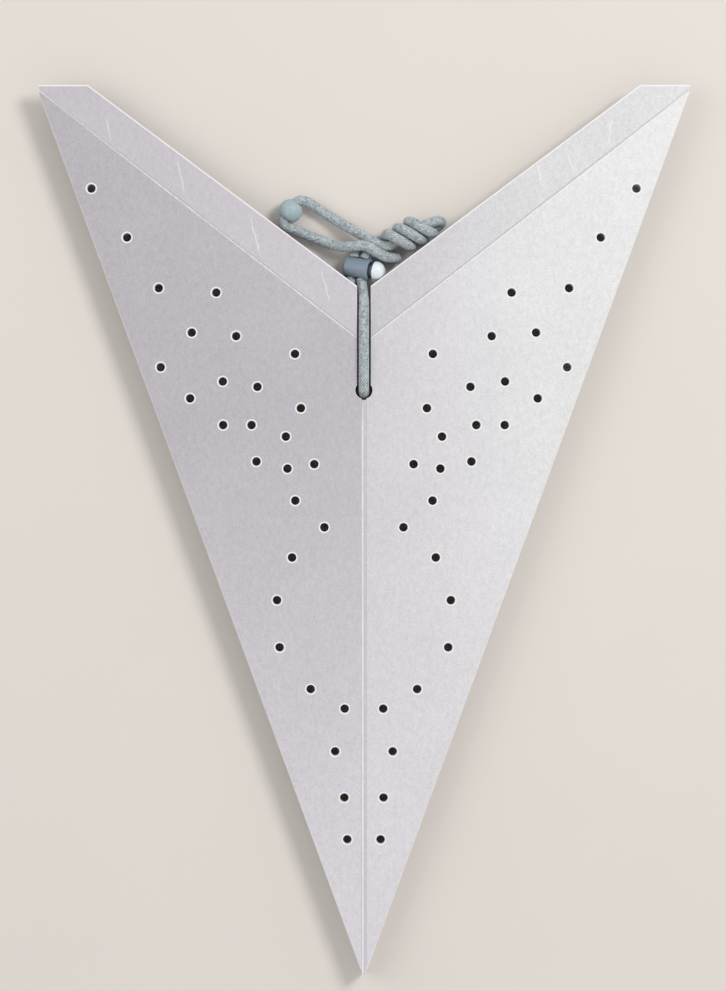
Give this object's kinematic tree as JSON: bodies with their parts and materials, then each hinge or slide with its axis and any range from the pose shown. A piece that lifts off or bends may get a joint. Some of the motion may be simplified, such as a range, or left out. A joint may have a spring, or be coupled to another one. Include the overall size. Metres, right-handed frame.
{
  "type": "paper star lantern",
  "caption": "Folding paper star lantern, folded flat: scored, punched paper leaves that open like a fan, with a closing cord, spring cord lock and bead.",
  "frame": {"origin": "centre of the bottom of the folded stack's box, measured without the cord and what is on it", "axes": "+Y along the middle fold, from the tip to the apex line; +X across the leaves; +Z out of the stack, from the first leaf to the last"},
  "size_m": [0.216, 0.2942, 0.0121],
  "materials": {
    "paper": "pearly silver-grey paper, finely mottled, white at cut and scored edges",
    "cord": "round braided cord, blue-grey, matt",
    "bead": "painted bead, matt blue-green grey",
    "barrel": "moulded, satin, blue-grey",
    "button": "moulded, glossy, pale bluish white",
    "steel": "bright spring wire"
  },
  "bodies": {
    "leaf_01": {"leaf_01_fold": "paper"},
    "leaf_02": {"leaf_02_fold": "paper"},
    "leaf_03": {"leaf_03_fold": "paper"},
    "leaf_04": {"leaf_04_fold": "paper"},
    "leaf_05": {"leaf_05_fold": "paper"},
    "leaf_06": {"leaf_06_fold": "paper"},
    "leaf_07": {"leaf_07_fold": "paper"},
    "leaf_08": {"leaf_08_fold": "paper"},
    "leaf_09": {"leaf_09_fold": "paper"},
    "leaf_10": {"leaf_10_fold": "paper"},
    "leaf_11": {"leaf_11_fold": "paper"},
    "leaf_12": {"leaf_12_fold": "paper"},
    "leaf_13": {"leaf_13_fold": "paper"},
    "leaf_14": {"leaf_14_fold": "paper", "tie_cord": "cord", "hanging_cord": "cord", "cord_bead": "bead", "lock_barrel": "barrel", "lock_spring": "steel"},
    "leaf_01_left": {"leaf_01_left": "paper"},
    "leaf_01_left_flap": {"leaf_01_left_flap": "paper"},
    "leaf_01_right": {"leaf_01_right": "paper"},
    "leaf_01_right_flap": {"leaf_01_right_flap": "paper"},
    "leaf_02_left": {"leaf_02_left": "paper"},
    "leaf_02_right": {"leaf_02_right": "paper"},
    "leaf_03_left": {"leaf_03_left": "paper"},
    "leaf_03_right": {"leaf_03_right": "paper"},
    "leaf_04_left": {"leaf_04_left": "paper"},
    "leaf_04_right": {"leaf_04_right": "paper"},
    "leaf_05_left": {"leaf_05_left": "paper"},
    "leaf_05_right": {"leaf_05_right": "paper"},
    "leaf_06_left": {"leaf_06_left": "paper"},
    "leaf_06_right": {"leaf_06_right": "paper"},
    "leaf_07_left": {"leaf_07_left": "paper"},
    "leaf_07_right": {"leaf_07_right": "paper"},
    "leaf_08_left": {"leaf_08_left": "paper"},
    "leaf_08_right": {"leaf_08_right": "paper"},
    "leaf_09_left": {"leaf_09_left": "paper"},
    "leaf_09_right": {"leaf_09_right": "paper"},
    "leaf_10_left": {"leaf_10_left": "paper"},
    "leaf_10_right": {"leaf_10_right": "paper"},
    "leaf_11_left": {"leaf_11_left": "paper"},
    "leaf_11_right": {"leaf_11_right": "paper"},
    "leaf_12_left": {"leaf_12_left": "paper"},
    "leaf_12_right": {"leaf_12_right": "paper"},
    "leaf_13_left": {"leaf_13_left": "paper"},
    "leaf_13_right": {"leaf_13_right": "paper"},
    "leaf_14_left": {"leaf_14_left": "paper"},
    "leaf_14_left_flap": {"leaf_14_left_flap": "paper"},
    "leaf_14_right": {"leaf_14_right": "paper"},
    "leaf_14_right_flap": {"leaf_14_right_flap": "paper"},
    "lock_plunger": {"lock_plunger": "button"}
  },
  "joints": [
    {"name": "tip_fold_1", "type": "hinge", "parent": "leaf_01", "child": "leaf_02", "pos_m": [0, -0.15215, 0.00055], "axis": [1, 0, 0], "range_deg": [0, 25.57]},
    {"name": "valley_fold_1", "type": "hinge", "parent": "leaf_02", "child": "leaf_03", "pos_m": [0, 0.06085, 0.00125], "axis": [-1, 0, 0], "range_deg": [0, 76.99]},
    {"name": "tip_fold_2", "type": "hinge", "parent": "leaf_03", "child": "leaf_04", "pos_m": [0, -0.15215, 0.00195], "axis": [1, 0, 0], "range_deg": [0, 25.57]},
    {"name": "valley_fold_2", "type": "hinge", "parent": "leaf_04", "child": "leaf_05", "pos_m": [0, 0.06085, 0.00265], "axis": [-1, 0, 0], "range_deg": [0, 77]},
    {"name": "tip_fold_3", "type": "hinge", "parent": "leaf_05", "child": "leaf_06", "pos_m": [0, -0.15215, 0.00335], "axis": [1, 0, 0], "range_deg": [0, 25.57]},
    {"name": "valley_fold_3", "type": "hinge", "parent": "leaf_06", "child": "leaf_07", "pos_m": [0, 0.06085, 0.00405], "axis": [-1, 0, 0], "range_deg": [0, 77]},
    {"name": "tip_fold_4", "type": "hinge", "parent": "leaf_07", "child": "leaf_08", "pos_m": [0, -0.15215, 0.00475], "axis": [1, 0, 0], "range_deg": [0, 25.57]},
    {"name": "valley_fold_4", "type": "hinge", "parent": "leaf_08", "child": "leaf_09", "pos_m": [0, 0.06085, 0.00545], "axis": [-1, 0, 0], "range_deg": [0, 77]},
    {"name": "tip_fold_5", "type": "hinge", "parent": "leaf_09", "child": "leaf_10", "pos_m": [0, -0.15215, 0.00615], "axis": [1, 0, 0], "range_deg": [0, 25.57]},
    {"name": "valley_fold_5", "type": "hinge", "parent": "leaf_10", "child": "leaf_11", "pos_m": [0, 0.06085, 0.00685], "axis": [-1, 0, 0], "range_deg": [0, 77]},
    {"name": "tip_fold_6", "type": "hinge", "parent": "leaf_11", "child": "leaf_12", "pos_m": [0, -0.15215, 0.00755], "axis": [1, 0, 0], "range_deg": [0, 25.57]},
    {"name": "valley_fold_6", "type": "hinge", "parent": "leaf_12", "child": "leaf_13", "pos_m": [0, 0.06085, 0.00825], "axis": [-1, 0, 0], "range_deg": [0, 77]},
    {"name": "tip_fold_7", "type": "hinge", "parent": "leaf_13", "child": "leaf_14", "pos_m": [0, -0.15215, 0.00895], "axis": [1, 0, 0], "range_deg": [0, 25.57]},
    {"name": "leaf_01_left_fold", "type": "hinge", "parent": "leaf_01", "child": "leaf_01_left", "pos_m": [0, -0.05415, 0.0002], "axis": [0, 1, 0], "range_deg": [0, 38.13]},
    {"name": "leaf_01_left_flap_fold", "type": "hinge", "parent": "leaf_01_left", "child": "leaf_01_left_flap", "pos_m": [-0.05475, 0.10335, 0.00045], "axis": [0.7899, -0.6132, 0], "range_deg": [0, 170.01]},
    {"name": "leaf_01_right_fold", "type": "hinge", "parent": "leaf_01", "child": "leaf_01_right", "pos_m": [0, -0.05415, 0.0002], "axis": [0, -1, 0], "range_deg": [0, 38.13]},
    {"name": "leaf_01_right_flap_fold", "type": "hinge", "parent": "leaf_01_right", "child": "leaf_01_right_flap", "pos_m": [0.05475, 0.10335, 0.00045], "axis": [0.7899, 0.6132, 0], "range_deg": [0, 170.01]},
    {"name": "leaf_02_left_fold", "type": "hinge", "parent": "leaf_02", "child": "leaf_02_left", "pos_m": [0, -0.05415, 0.0009], "axis": [0, -1, 0], "range_deg": [0, 38.13]},
    {"name": "leaf_02_right_fold", "type": "hinge", "parent": "leaf_02", "child": "leaf_02_right", "pos_m": [0, -0.05415, 0.0009], "axis": [0, 1, 0], "range_deg": [0, 38.13]},
    {"name": "leaf_03_left_fold", "type": "hinge", "parent": "leaf_03", "child": "leaf_03_left", "pos_m": [0, -0.05415, 0.0016], "axis": [0, 1, 0], "range_deg": [0, 38.13]},
    {"name": "leaf_03_right_fold", "type": "hinge", "parent": "leaf_03", "child": "leaf_03_right", "pos_m": [0, -0.05415, 0.0016], "axis": [0, -1, 0], "range_deg": [0, 38.13]},
    {"name": "leaf_04_left_fold", "type": "hinge", "parent": "leaf_04", "child": "leaf_04_left", "pos_m": [0, -0.05415, 0.0023], "axis": [0, -1, 0], "range_deg": [0, 38.13]},
    {"name": "leaf_04_right_fold", "type": "hinge", "parent": "leaf_04", "child": "leaf_04_right", "pos_m": [0, -0.05415, 0.0023], "axis": [0, 1, 0], "range_deg": [0, 38.13]},
    {"name": "leaf_05_left_fold", "type": "hinge", "parent": "leaf_05", "child": "leaf_05_left", "pos_m": [0, -0.05415, 0.003], "axis": [0, 1, 0], "range_deg": [0, 38.13]},
    {"name": "leaf_05_right_fold", "type": "hinge", "parent": "leaf_05", "child": "leaf_05_right", "pos_m": [0, -0.05415, 0.003], "axis": [0, -1, 0], "range_deg": [0, 38.13]},
    {"name": "leaf_06_left_fold", "type": "hinge", "parent": "leaf_06", "child": "leaf_06_left", "pos_m": [0, -0.05415, 0.0037], "axis": [0, -1, 0], "range_deg": [0, 38.13]},
    {"name": "leaf_06_right_fold", "type": "hinge", "parent": "leaf_06", "child": "leaf_06_right", "pos_m": [0, -0.05415, 0.0037], "axis": [0, 1, 0], "range_deg": [0, 38.13]},
    {"name": "leaf_07_left_fold", "type": "hinge", "parent": "leaf_07", "child": "leaf_07_left", "pos_m": [0, -0.05415, 0.0044], "axis": [0, 1, 0], "range_deg": [0, 38.13]},
    {"name": "leaf_07_right_fold", "type": "hinge", "parent": "leaf_07", "child": "leaf_07_right", "pos_m": [0, -0.05415, 0.0044], "axis": [0, -1, 0], "range_deg": [0, 38.13]},
    {"name": "leaf_08_left_fold", "type": "hinge", "parent": "leaf_08", "child": "leaf_08_left", "pos_m": [0, -0.05415, 0.0051], "axis": [0, -1, 0], "range_deg": [0, 38.13]},
    {"name": "leaf_08_right_fold", "type": "hinge", "parent": "leaf_08", "child": "leaf_08_right", "pos_m": [0, -0.05415, 0.0051], "axis": [0, 1, 0], "range_deg": [0, 38.13]},
    {"name": "leaf_09_left_fold", "type": "hinge", "parent": "leaf_09", "child": "leaf_09_left", "pos_m": [0, -0.05415, 0.0058], "axis": [0, 1, 0], "range_deg": [0, 38.13]},
    {"name": "leaf_09_right_fold", "type": "hinge", "parent": "leaf_09", "child": "leaf_09_right", "pos_m": [0, -0.05415, 0.0058], "axis": [0, -1, 0], "range_deg": [0, 38.13]},
    {"name": "leaf_10_left_fold", "type": "hinge", "parent": "leaf_10", "child": "leaf_10_left", "pos_m": [0, -0.05415, 0.0065], "axis": [0, -1, 0], "range_deg": [0, 38.13]},
    {"name": "leaf_10_right_fold", "type": "hinge", "parent": "leaf_10", "child": "leaf_10_right", "pos_m": [0, -0.05415, 0.0065], "axis": [0, 1, 0], "range_deg": [0, 38.13]},
    {"name": "leaf_11_left_fold", "type": "hinge", "parent": "leaf_11", "child": "leaf_11_left", "pos_m": [0, -0.05415, 0.0072], "axis": [0, 1, 0], "range_deg": [0, 38.13]},
    {"name": "leaf_11_right_fold", "type": "hinge", "parent": "leaf_11", "child": "leaf_11_right", "pos_m": [0, -0.05415, 0.0072], "axis": [0, -1, 0], "range_deg": [0, 38.13]},
    {"name": "leaf_12_left_fold", "type": "hinge", "parent": "leaf_12", "child": "leaf_12_left", "pos_m": [0, -0.05415, 0.0079], "axis": [0, -1, 0], "range_deg": [0, 38.13]},
    {"name": "leaf_12_right_fold", "type": "hinge", "parent": "leaf_12", "child": "leaf_12_right", "pos_m": [0, -0.05415, 0.0079], "axis": [0, 1, 0], "range_deg": [0, 38.13]},
    {"name": "leaf_13_left_fold", "type": "hinge", "parent": "leaf_13", "child": "leaf_13_left", "pos_m": [0, -0.05415, 0.0086], "axis": [0, 1, 0], "range_deg": [0, 38.13]},
    {"name": "leaf_13_right_fold", "type": "hinge", "parent": "leaf_13", "child": "leaf_13_right", "pos_m": [0, -0.05415, 0.0086], "axis": [0, -1, 0], "range_deg": [0, 38.13]},
    {"name": "leaf_14_left_fold", "type": "hinge", "parent": "leaf_14", "child": "leaf_14_left", "pos_m": [0, -0.05415, 0.0093], "axis": [0, -1, 0], "range_deg": [0, 38.13]},
    {"name": "leaf_14_left_flap_fold", "type": "hinge", "parent": "leaf_14_left", "child": "leaf_14_left_flap", "pos_m": [-0.05475, 0.10335, 0.00955], "axis": [0.7899, -0.6132, 0], "range_deg": [0, 20.01]},
    {"name": "leaf_14_right_fold", "type": "hinge", "parent": "leaf_14", "child": "leaf_14_right", "pos_m": [0, -0.05415, 0.0093], "axis": [0, 1, 0], "range_deg": [0, 38.13]},
    {"name": "leaf_14_right_flap_fold", "type": "hinge", "parent": "leaf_14_right", "child": "leaf_14_right_flap", "pos_m": [0.05475, 0.10335, 0.00955], "axis": [0.7899, 0.6132, 0], "range_deg": [0, 20.01]},
    {"name": "button_press", "type": "slide", "parent": "leaf_14", "child": "lock_plunger", "axis": [-0.9254, 0.1632, -0.342], "range_m": [0, 0.0012], "stiffness_N_per_m": 300, "springref_m": -0.002}
  ],
  "couplings": [
    {"joint": "tip_fold_1", "follows": "valley_fold_1", "ratio": 0.33202},
    {"joint": "tip_fold_2", "follows": "valley_fold_1", "ratio": 0.33202},
    {"joint": "valley_fold_2", "follows": "valley_fold_1", "ratio": 1},
    {"joint": "tip_fold_3", "follows": "valley_fold_1", "ratio": 0.33202},
    {"joint": "valley_fold_3", "follows": "valley_fold_1", "ratio": 1},
    {"joint": "tip_fold_4", "follows": "valley_fold_1", "ratio": 0.33202},
    {"joint": "valley_fold_4", "follows": "valley_fold_1", "ratio": 1},
    {"joint": "tip_fold_5", "follows": "valley_fold_1", "ratio": 0.33202},
    {"joint": "valley_fold_5", "follows": "valley_fold_1", "ratio": 1},
    {"joint": "tip_fold_6", "follows": "valley_fold_1", "ratio": 0.33202},
    {"joint": "valley_fold_6", "follows": "valley_fold_1", "ratio": 1},
    {"joint": "tip_fold_7", "follows": "valley_fold_1", "ratio": 0.33202},
    {"joint": "leaf_01_left_fold", "follows": "valley_fold_1", "ratio": 0.49517},
    {"joint": "leaf_01_left_flap_fold", "follows": "valley_fold_1", "ratio": 2.2081},
    {"joint": "leaf_01_right_fold", "follows": "valley_fold_1", "ratio": 0.49517},
    {"joint": "leaf_01_right_flap_fold", "follows": "valley_fold_1", "ratio": 2.2081},
    {"joint": "leaf_02_left_fold", "follows": "valley_fold_1", "ratio": 0.49517},
    {"joint": "leaf_02_right_fold", "follows": "valley_fold_1", "ratio": 0.49517},
    {"joint": "leaf_03_left_fold", "follows": "valley_fold_1", "ratio": 0.49517},
    {"joint": "leaf_03_right_fold", "follows": "valley_fold_1", "ratio": 0.49517},
    {"joint": "leaf_04_left_fold", "follows": "valley_fold_1", "ratio": 0.49517},
    {"joint": "leaf_04_right_fold", "follows": "valley_fold_1", "ratio": 0.49517},
    {"joint": "leaf_05_left_fold", "follows": "valley_fold_1", "ratio": 0.49517},
    {"joint": "leaf_05_right_fold", "follows": "valley_fold_1", "ratio": 0.49517},
    {"joint": "leaf_06_left_fold", "follows": "valley_fold_1", "ratio": 0.49517},
    {"joint": "leaf_06_right_fold", "follows": "valley_fold_1", "ratio": 0.49517},
    {"joint": "leaf_07_left_fold", "follows": "valley_fold_1", "ratio": 0.49517},
    {"joint": "leaf_07_right_fold", "follows": "valley_fold_1", "ratio": 0.49517},
    {"joint": "leaf_08_left_fold", "follows": "valley_fold_1", "ratio": 0.49517},
    {"joint": "leaf_08_right_fold", "follows": "valley_fold_1", "ratio": 0.49517},
    {"joint": "leaf_09_left_fold", "follows": "valley_fold_1", "ratio": 0.49517},
    {"joint": "leaf_09_right_fold", "follows": "valley_fold_1", "ratio": 0.49517},
    {"joint": "leaf_10_left_fold", "follows": "valley_fold_1", "ratio": 0.49517},
    {"joint": "leaf_10_right_fold", "follows": "valley_fold_1", "ratio": 0.49517},
    {"joint": "leaf_11_left_fold", "follows": "valley_fold_1", "ratio": 0.49517},
    {"joint": "leaf_11_right_fold", "follows": "valley_fold_1", "ratio": 0.49517},
    {"joint": "leaf_12_left_fold", "follows": "valley_fold_1", "ratio": 0.49517},
    {"joint": "leaf_12_right_fold", "follows": "valley_fold_1", "ratio": 0.49517},
    {"joint": "leaf_13_left_fold", "follows": "valley_fold_1", "ratio": 0.49517},
    {"joint": "leaf_13_right_fold", "follows": "valley_fold_1", "ratio": 0.49517},
    {"joint": "leaf_14_left_fold", "follows": "valley_fold_1", "ratio": 0.49517},
    {"joint": "leaf_14_left_flap_fold", "follows": "valley_fold_1", "ratio": 0.25977},
    {"joint": "leaf_14_right_fold", "follows": "valley_fold_1", "ratio": 0.49517},
    {"joint": "leaf_14_right_flap_fold", "follows": "valley_fold_1", "ratio": 0.25977}
  ]
}
